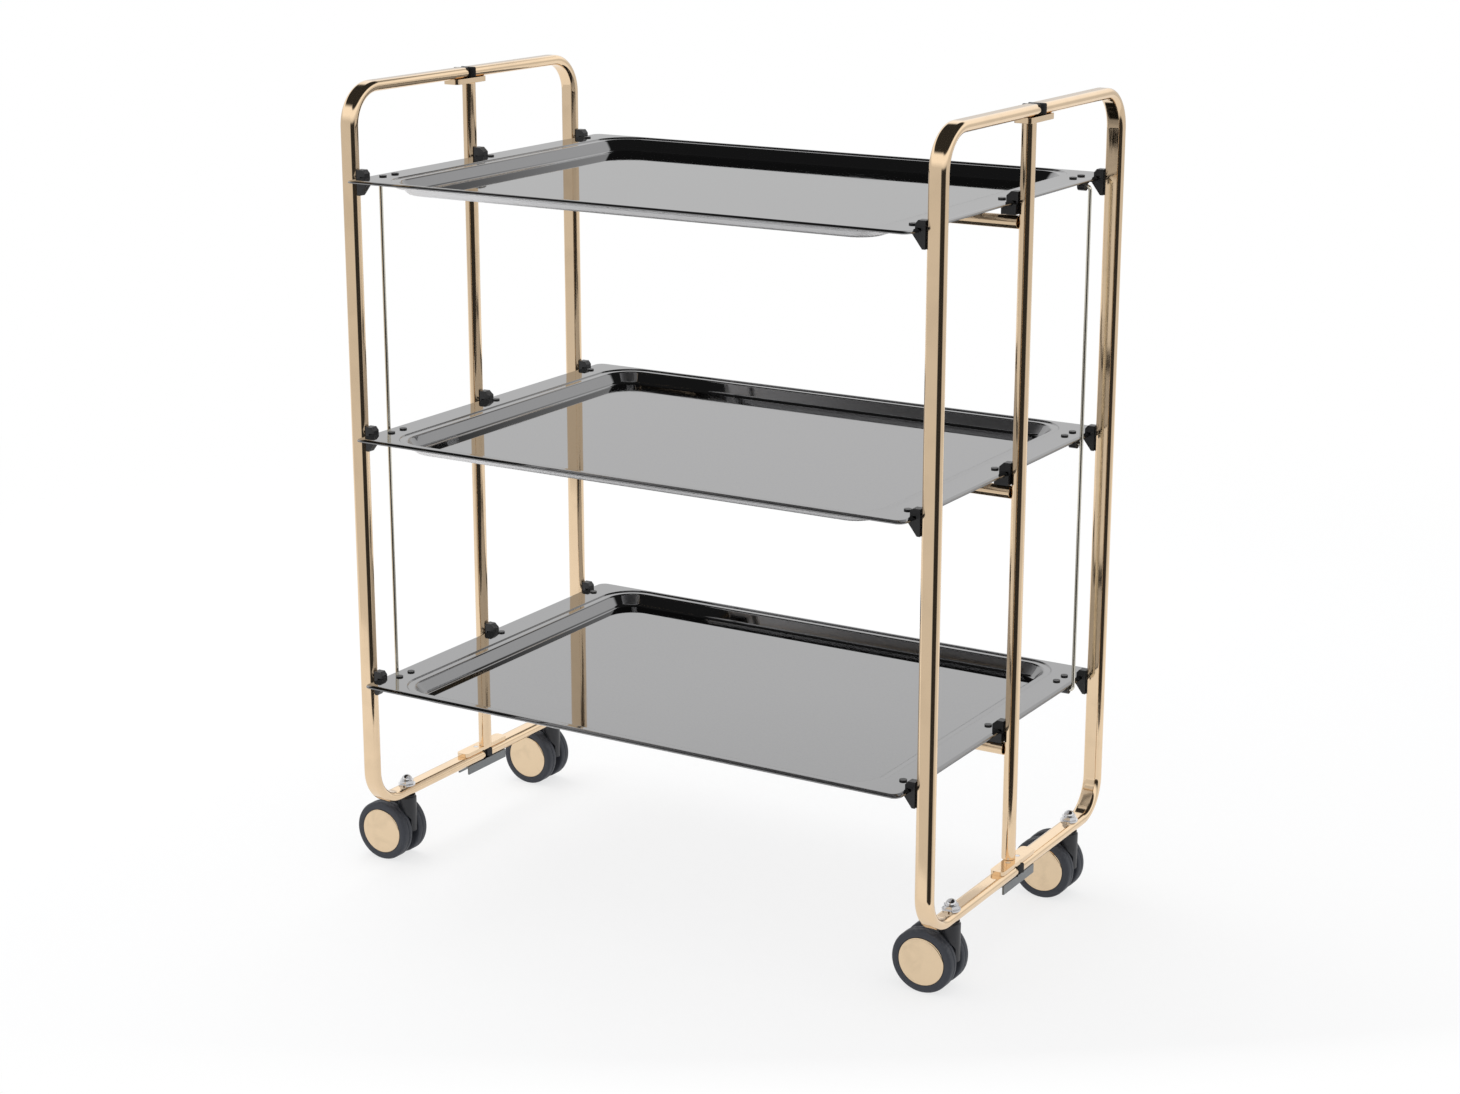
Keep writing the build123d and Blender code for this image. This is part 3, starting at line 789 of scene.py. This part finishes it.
@dataclass
class TrayPan:
    """Pressed tray: flat rim with a brim and a folded lip, a step and a sunk floor."""

    tier: Tier
    half_length: float = 0.290
    half_depth: float = 0.206
    corner: float = 0.008
    corner_segments: int = 12
    sheet: float = 0.0010
    lip: float = 0.0025
    mouth: tuple[float, float, float] = (0.252, 0.192, 0.028)
    floor: tuple[float, float, float] = (0.244, 0.184, 0.022)
    floor_drop: float = 0.012
    ledge: float = 0.007
    ledge_drop: float = 0.0012
    floor_bend: float = 0.0026
    mouth_bend: float = 0.0016
    edge_bend: float = 0.0007
    rim_bend: float = 0.0010
    brim: float = 0.0035
    brim_drop: float = 0.0013
    crease: float = 40.0

    def face(self, bm: bmesh.types.BMesh, size: tuple[float, float, float], drop: float
             ) -> bmesh.types.BMFace:
        """Rounded face round the tray's middle.

        Args:
            bm: mesh that gets the face.
            size: half length, half depth and corner radius.
            drop: depth below the rim.

        Returns:
            The face.
        """
        half_x, half_y, radius = size
        level = Matrix.Translation((MIDDLE_X, 0.0, self.tier.value - drop))
        return rounded_face(bm, 2 * half_x, 2 * half_y, radius, level, self.corner_segments)

    def outline(self, size: tuple[float, float, float], drop: float) -> list[Vector]:
        """Points of a rounded outline, in order from the right-hand rear corner.

        Args:
            size: half length, half depth and corner radius.
            drop: depth below the rim.

        Returns:
            The points, as many for every outline.
        """
        bm = bmesh.new()
        face = self.face(bm, size, drop)
        face.normal_update()
        if face.normal.z < 0.0:
            face.normal_flip()
        points = [vert.co.copy() for vert in face.verts]
        bm.free()
        first = max(range(len(points)), key=lambda i: (round(points[i].x, 6), points[i].y))
        return points[first:] + points[:first]

    def steps(self) -> list[tuple[tuple[float, float, float], float, float, int]]:
        """Outlines from the floor to the lip.

        Returns:
            Size, depth below the rim, width of the bend and faces across it.
        """
        mouth_x, mouth_y, mouth_r = self.mouth
        rise = self.ledge + self.ledge_drop / 2
        rim = (self.half_length, self.half_depth, self.corner)
        return [
            (self.floor, self.floor_drop, self.floor_bend, 6),
            (self.mouth, self.ledge_drop, self.mouth_bend, 4),
            ((mouth_x + self.ledge, mouth_y + self.ledge, mouth_r + self.ledge),
             self.ledge_drop, self.edge_bend, 2),
            ((mouth_x + rise, mouth_y + rise, mouth_r + rise), 0.0, self.edge_bend, 2),
            ((self.half_length - self.brim, self.half_depth - self.brim, self.corner), 0.0,
             self.edge_bend, 2),
            (rim, self.brim_drop, self.rim_bend, 4),
            (rim, self.lip, 0.0, 0),
        ]

    def build(self) -> bpy.types.Object:
        """Carry the floor's edge outwards to the lip and give the sheet its thickness.

        Returns:
            The piece's object.
        """
        steps = self.steps()
        outlines = [self.outline(size, drop) for size, drop, _, _ in steps]
        bm = bmesh.new()
        rings = [list(self.face(bm, *steps[0][:2]).edges)]
        for before, after in zip(outlines, outlines[1:]):
            verts, edges = carried(bm, rings[-1])
            moves = {tuple(old): new for old, new in zip(before, after)}
            for vert in verts:
                vert.co = moves[tuple(vert.co)]
            rings.append(edges)
        bmesh.ops.recalc_face_normals(bm, faces=bm.faces)
        if max(bm.faces, key=lambda f: f.calc_area()).normal.z < 0.0:
            bmesh.ops.reverse_faces(bm, faces=bm.faces)
        for edges, (_, _, width, count) in zip(rings, steps):
            if count:
                bmesh.ops.bevel(bm, geom=edges, offset=width, offset_type="OFFSET",
                                affect="EDGES", segments=count, profile=0.5, material=-1)
        bmesh.ops.solidify(bm, geom=bm.faces[:], thickness=self.sheet)
        bmesh.ops.remove_doubles(bm, verts=bm.verts, dist=MERGE_FINE)
        name = self.tier.name.lower()
        return Piece(f"pressed_tray_{name}", f"tray_{name}", SMOKED, (f"tray_pan_{name}",),
                     crease=self.crease).place(bm)


@dataclass
class Tray:
    """Tray with the tube under it and its black fittings."""

    tier: Tier
    tube_radius: float = 0.006
    tube_half_length: float = 0.292
    tube_wall: float = 0.001
    tube_bore: float = 0.012
    tube_drop: float = 0.0193
    tube_edge: float = 0.0003
    tube_segments: int = 32
    pad_size: tuple[float, float, float] = (0.030, 0.016, 0.0025)
    pad_place: float = 0.150
    underside: float = 0.013
    clip_edge: float = 0.0006
    lug_edge: float = 0.0005

    def cross_tube(self) -> bpy.types.Object:
        """Round tube along the underside, with two welded pads.

        Returns:
            The piece's object.
        """
        name, z = self.tier.name.lower(), self.tier.value
        bm = bmesh.new()
        place = (Matrix.Translation((MIDDLE_X - self.tube_half_length, 0.0, z - self.tube_drop))
                 @ Matrix.Rotation(math.pi / 2, 4, "Y"))
        first = round_face(bm, self.tube_radius, place, self.tube_segments)
        last = Sweep(bm, first).run(Vector((2 * self.tube_half_length, 0.0, 0.0))).close()
        outward(bm)
        for face in (first, last):
            hollow_end(bm, face, self.tube_wall, self.tube_bore)
        for way in Side:
            length, width, height = self.pad_size
            middle = Vector((MIDDLE_X + way.value * self.pad_place, 0.0,
                             z - self.underside - height / 2))
            bmesh.ops.create_cube(bm, size=1.0, matrix=Matrix.Translation(middle)
                                  @ Matrix.Diagonal((length, width, height, 1.0)))
        soften(bm, self.tube_edge)
        return Piece(f"under_tube_{name}", f"tray_{name}", GOLD_ALONG,
                     (f"cross_tube_{name}",)).place(bm)

    def build(self) -> None:
        """Build the pan, its tube and its fittings."""
        name = self.tier.name.lower()
        TrayPan(self.tier).build()
        self.cross_tube()
        softened(f"corner_clips_{name}", f"snap_clips_{name}", BLACK, self.clip_edge)
        softened(f"pivot_brackets_{name}", f"swing_brackets_{name}", BLACK, self.clip_edge)
        softened(f"rod_lugs_{name}", f"rod_eyes_{name}", BLACK, self.lug_edge)


@dataclass
class LinkRod:
    """Wire down the tray ends, hooked into each tray's lug."""

    side: Side
    radius: float = 0.00175
    branch_radius: float = 0.0015
    spread: float = 0.150
    hook_inset: float = 0.0085
    pivot_drop: float = 0.006
    offset: float = 0.0023
    bend_radius: float = 0.0035
    bend_steps: int = 8
    segments: int = 20
    edge: float = 0.290
    crease: float = 50.0

    def build(self) -> bpy.types.Object:
        """Sweep the wire through its two hooks and add the middle branch.

        Returns:
            The piece's object.
        """
        way = float(self.side.value)
        y = way * self.spread
        hook = MIDDLE_X + way * (self.edge - self.hook_inset)
        line = MIDDLE_X + way * (self.edge + self.offset)
        high, middle, low = (tier.value - self.pivot_drop for tier in Tier)
        reach = way * (self.hook_inset + self.offset)
        axis, turn = Vector((0.0, 1.0, 0.0)), way * 90.0
        bend_x = line - way * self.bend_radius
        sideways = Matrix.Rotation(math.pi / 2, 4, "Y")
        bm = bmesh.new()
        start = round_face(bm, self.radius, Matrix.Translation((hook, y, high)) @ sideways,
                           self.segments)
        sweep = Sweep(bm, start)
        sweep.run(Vector((bend_x - hook, 0.0, 0.0)))
        sweep.bend(Vector((bend_x, y, high - self.bend_radius)), axis, turn, self.bend_steps)
        sweep.run(Vector((0.0, 0.0, low - high + 2 * self.bend_radius)))
        sweep.bend(Vector((bend_x, y, low + self.bend_radius)), axis, turn, self.bend_steps)
        sweep.run(Vector((hook - bend_x, 0.0, 0.0))).close()
        branch = round_face(bm, self.branch_radius,
                            Matrix.Translation((hook, y, middle)) @ sideways, self.segments)
        Sweep(bm, branch).run(Vector((reach, 0.0, 0.0))).close()
        outward(bm)
        name = self.side.name.lower()
        return Piece(f"wire_link_{name}", f"link_rod_{name}", WIRE,
                     (f"link_rod_{name}",), crease=self.crease).place(bm)


@dataclass
class Caster:
    """Twin-wheel caster with a hood, two wheels and their domed caps."""

    side: Side
    end: End
    stem_x: float = 0.3035
    stem_y: float = 0.126
    trail: float = 0.020
    wheel_radius: float = 0.030
    inner: float = 0.005
    outer: float = 0.0185
    shoulder: float = 0.0026
    shoulder_cut: float = 0.3
    groove_depth: float = 0.0009
    groove_half: float = 0.0008
    groove_share: float = 0.45
    tyre_edge: float = 0.0004
    tyre_angle: float = 24.0
    cap_radius: float = 0.0225
    cap_side: float = 0.0009
    cap_edge: float = 0.00025
    cap_profile: tuple[tuple[float, float], ...] = (
        (0.0, 0.0), (0.00004, 0.3), (0.00018, 0.6), (0.00042, 0.86), (0.00062, 0.90),
        (0.00042, 0.925), (0.0006, 0.97))
    recess: float = 0.0012
    dome: float = 0.0008
    bore: float = 0.00305
    clearance: float = 0.0003
    hood_edge: float = 0.0007
    steps: int = 72

    @property
    def tag(self) -> str:
        """Name of the caster's corner."""
        return f"{self.end.name.lower()}_{self.side.name.lower()}"

    @property
    def hub(self) -> Vector:
        """Middle of the axle."""
        return Vector((MIDDLE_X + self.side.value * self.stem_x - self.trail,
                       self.end.value * self.stem_y, self.wheel_radius))

    def turned(self, profile: list[tuple[float, float]], closed: bool) -> bmesh.types.BMesh:
        """Turn a profile round the axle.

        Args:
            profile: distances along the axle and radii.
            closed: whether the last point joins the first.

        Returns:
            The turned mesh.
        """
        bm = bmesh.new()
        verts = [bm.verts.new(self.hub + Vector((0.0, along, radius)))
                 for along, radius in profile]
        pairs = list(zip(verts, verts[1:])) + ([(verts[-1], verts[0])] if closed else [])
        edges = [bm.edges.new(pair) for pair in pairs]
        bmesh.ops.spin(bm, geom=verts + edges, cent=self.hub, axis=(0.0, 1.0, 0.0),
                       dvec=(0.0, 0.0, 0.0), angle=math.tau, steps=self.steps,
                       use_merge=True, use_duplicate=False)
        bmesh.ops.remove_doubles(bm, verts=bm.verts, dist=MERGE)
        outward(bm)
        return bm

    def wheel(self, half: End) -> bpy.types.Object:
        """Grooved wheel with round shoulders and a seat for its cap.

        Args:
            half: wheel in front of the axle's middle or behind it.

        Returns:
            The piece's object.
        """
        way = half.value
        inner, outer = way * self.inner, way * self.outer
        groove = inner + (outer - inner) * self.groove_share
        tread, crown = self.wheel_radius, self.wheel_radius - self.shoulder
        cut = self.shoulder * self.shoulder_cut
        seat = self.cap_radius + self.clearance
        lip = seat + (crown - seat) / 2
        sunk = outer - way * self.recess
        bm = self.turned([
            (inner, self.bore), (inner, crown), (inner + way * cut, tread - cut),
            (inner + way * self.shoulder, tread),
            (groove - way * self.groove_half, tread), (groove, tread - self.groove_depth),
            (groove + way * self.groove_half, tread), (outer - way * self.shoulder, tread),
            (outer - way * cut, tread - cut),
            (outer, crown), (outer, lip), (outer - way * self.clearance, seat),
            (sunk, seat), (sunk, self.bore)], True)
        soften(bm, self.tyre_edge, angle=self.tyre_angle)
        name = f"{self.tag}_{half.name.lower()}"
        return Piece(f"caster_tyre_{name}", f"wheel_{name}", TYRE, (f"wheel_{name}",)).place(bm)

    def cap(self, half: End) -> bpy.types.Object:
        """Plated cap with a soft dome and a narrow raised border.

        Args:
            half: wheel in front of the axle's middle or behind it.

        Returns:
            The piece's object.
        """
        way = half.value
        seat, edge = way * (self.outer - self.recess), self.cap_radius
        crown = way * self.outer + way * self.dome
        front = [(crown - way * sunk, edge * share) for sunk, share in self.cap_profile]
        bm = self.turned(front + [(seat + way * self.cap_side, edge), (seat, edge),
                                  (seat, 0.0)], False)
        soften(bm, self.cap_edge)
        name = f"{self.tag}_{half.name.lower()}"
        return Piece(f"domed_cap_{name}", f"wheel_{name}", GOLD_CAP, (f"wheel_cap_{name}",)
                     ).place(bm)

    def build(self) -> None:
        """Build the hood, the wheels and the caps."""
        softened(f"caster_body_{self.tag}", f"caster_hood_{self.tag}", HOOD, self.hood_edge)
        dressed(f"caster_axle_{self.tag}", NICKEL)
        for half in End:
            self.wheel(half)
            self.cap(half)


@dataclass
class Hardware:
    """Small fixings on the frame."""

    plug_edge: float = 0.0003
    pin_edge: float = 0.0003
    nut_edge: float = 0.0004
    segments: int = 2

    def build(self) -> None:
        """Soften the plugs, pins and nuts, and dress what is hidden."""
        softened("rail_plugs", "rail_end_plugs", BLACK, self.plug_edge, self.segments)
        softened("hinge_pins", "hinge_pin_heads", NICKEL, self.pin_edge, self.segments)
        softened("cap_nuts", "domed_cap_nuts", NICKEL, self.nut_edge, self.segments)
        dressed("tray_pivot_pins", BLACK_METAL)
        dressed("caster_stems", BLACK_METAL)


@dataclass
class Studio:
    """Pale floor, soft light and the camera at the photograph's angle."""

    azimuth: float = 31.19
    elevation: float = 15.08
    distance: float = 2.5924
    target: tuple[float, float, float] = (0.0181, 0.0, 0.3644)
    focal: float = 2714.3
    sensor: float = 36.0
    clip: tuple[float, float] = (0.05, 60.0)
    image: tuple[int, int] = (1460, 1094)
    centre_row: float = 520.0
    floor_color: Color = (0.97, 0.975, 0.985)
    floor_roughness: float = 0.9
    floor_radius: float = 3.2
    floor_back: float = 2.7
    floor_glow: float = 0.72
    floor_fade: tuple[float, float] = (0.9, 2.2)
    floor_border: float = 0.26
    floor_segments: int = 96
    lamp_power: float = 16.0
    lamp_size: float = 1.6
    lamp_place: tuple[float, float, float] = (-0.9, 0.5, 2.3)
    lamp_aim: tuple[float, float, float] = (0.0, 0.0, 0.3)
    room_light: float = 0.86
    dark_light: float = 0.03
    dark_front: tuple[float, float] = (0.60, 0.80)
    dark_below: tuple[float, float] = (0.16, 0.02)
    dark_above: tuple[float, float] = (0.54, 0.66)
    mirror_heights: tuple[float, float] = (0.12, 0.32)
    mirror_lights: tuple[float, float] = (0.74, 1.18)

    @property
    def toward(self) -> Vector:
        """Direction from the target to the camera."""
        turn, rise = math.radians(self.azimuth), math.radians(self.elevation)
        return Vector((math.sin(turn) * math.cos(rise), -math.cos(turn) * math.cos(rise),
                       math.sin(rise)))

    @property
    def level(self) -> Vector:
        """That direction on the floor."""
        return Vector((self.toward.x, self.toward.y, 0.0)).normalized()

    def camera(self) -> None:
        """Set the scene's camera."""
        data = bpy.data.cameras.new("studio camera")
        data.sensor_width = self.sensor
        data.lens = self.focal / self.image[0] * data.sensor_width
        data.shift_y = (self.centre_row - self.image[1] / 2) / self.image[0]
        data.clip_start, data.clip_end = self.clip
        thing = bpy.data.objects.new("studio camera", data)
        thing.location = Vector(self.target) + self.toward * self.distance
        thing.rotation_mode = "QUATERNION"
        thing.rotation_quaternion = (-self.toward).to_track_quat("-Z", "Y")
        bpy.context.scene.collection.objects.link(thing)
        bpy.context.scene.camera = thing

    def floor_material(self) -> bpy.types.Material:
        """Matt white that turns to plain white away from the object and towards its edge.

        Returns:
            The floor's material.
        """
        material = bpy.data.materials.new("Pale floor")
        material.use_nodes = True
        make = Shading(material.node_tree)
        matt = make.put(make.first("BSDF_PRINCIPLED"),
                        {"Base Color": (*self.floor_color, 1.0),
                         "Roughness": self.floor_roughness, "Specular IOR Level": 0.0})
        path = make.add("ShaderNodeLightPath").outputs
        mirrored = make.math("MAXIMUM", path["Is Glossy Ray"], path["Is Transmission Ray"])
        seen = make.math("MAXIMUM", path["Is Camera Ray"], mirrored)
        place = make.add("ShaderNodeTexCoord").outputs["Object"]
        hub = make.vector("ADD", {0: place, 1: self.level * self.floor_back})
        fade = make.ranged(make.vector("LENGTH", {0: place}, "Value"), self.floor_fade,
                           (self.floor_glow, 1.0), "SMOOTHSTEP")
        border = make.ranged(make.vector("LENGTH", {0: hub}, "Value"),
                             (self.floor_radius - self.floor_border, self.floor_radius),
                             way="SMOOTHSTEP")
        share = make.math("MULTIPLY", seen, make.math("MAXIMUM", fade, border))
        glow = make.add("ShaderNodeEmission", {"Strength": 1.0})
        blend = make.add("ShaderNodeMixShader",
                         {"Fac": share, 1: matt.outputs[0], 2: glow.outputs[0]})
        make.put(make.first("OUTPUT_MATERIAL"), {"Surface": blend.outputs[0]})
        return material

    def floor(self) -> None:
        """Plain pale floor that keeps the object's shadow."""
        bm = bmesh.new()
        round_face(bm, self.floor_radius, Matrix.Translation(-self.level * self.floor_back),
                   self.floor_segments)
        mesh = bpy.data.meshes.new("studio floor")
        bm.to_mesh(mesh)
        bm.free()
        mesh.materials.append(self.floor_material())
        thing = bpy.data.objects.new("studio floor", mesh)
        bpy.context.scene.collection.objects.link(thing)

    def lamp(self) -> None:
        """Large soft lamp above the rear left, which draws the shadow to the right."""
        data = bpy.data.lights.new("soft lamp", "AREA")
        data.shape, data.size, data.energy = "DISK", self.lamp_size, self.lamp_power
        thing = bpy.data.objects.new("soft lamp", data)
        thing.location = self.lamp_place
        thing.rotation_mode = "QUATERNION"
        thing.rotation_quaternion = (Vector(self.lamp_aim) - thing.location
                                     ).to_track_quat("-Z", "Y")
        thing.visible_glossy = False
        bpy.context.scene.collection.objects.link(thing)

    def world(self) -> None:
        """White surround whose low front and ceiling are dark where metal mirrors them."""
        world = bpy.data.worlds.new("studio")
        world.use_nodes = True
        bpy.context.scene.world = world
        make = Shading(world.node_tree)
        path = make.add("ShaderNodeLightPath").outputs
        way = make.add("ShaderNodeTexCoord").outputs["Generated"]
        height = make.height(way)
        ahead = make.vector("DOT_PRODUCT", {0: way, 1: self.level}, "Value")
        front = make.math("MULTIPLY", make.ranged(ahead, self.dark_front, way="SMOOTHSTEP"),
                          make.ranged(height, self.dark_below, way="SMOOTHSTEP"))
        dark = make.math("MAXIMUM", front,
                         make.ranged(height, self.dark_above, way="SMOOTHSTEP"))
        mirrored = make.mixed("FLOAT", dark,
                              make.ranged(height, self.mirror_heights, self.mirror_lights),
                              self.dark_light)
        room = make.mixed("FLOAT", path["Is Glossy Ray"], self.room_light, mirrored)
        seen = make.math("MAXIMUM", path["Is Camera Ray"], path["Is Transmission Ray"])
        make.put(make.first("BACKGROUND"), {"Color": (1.0, 1.0, 1.0, 1.0),
                                            "Strength": make.mixed("FLOAT", seen, room, 1.0)})

    def build(self) -> None:
        """Set up everything that isn't part of the trolley."""
        bpy.context.scene.view_settings.view_transform = "Standard"
        self.camera()
        self.floor()
        self.lamp()
        self.world()


def main() -> None:
    """Build the trolley and the studio."""
    logging.basicConfig(level=logging.INFO, format="%(message)s")
    for side in Side:
        EndFrame(side).build()
        LinkRod(side).build()
        for end in End:
            Caster(side, end).build()
    for tier in Tier:
        Tray(tier).build()
    Hardware().build()
    Studio().build()


if __name__ == "__main__":
    main()
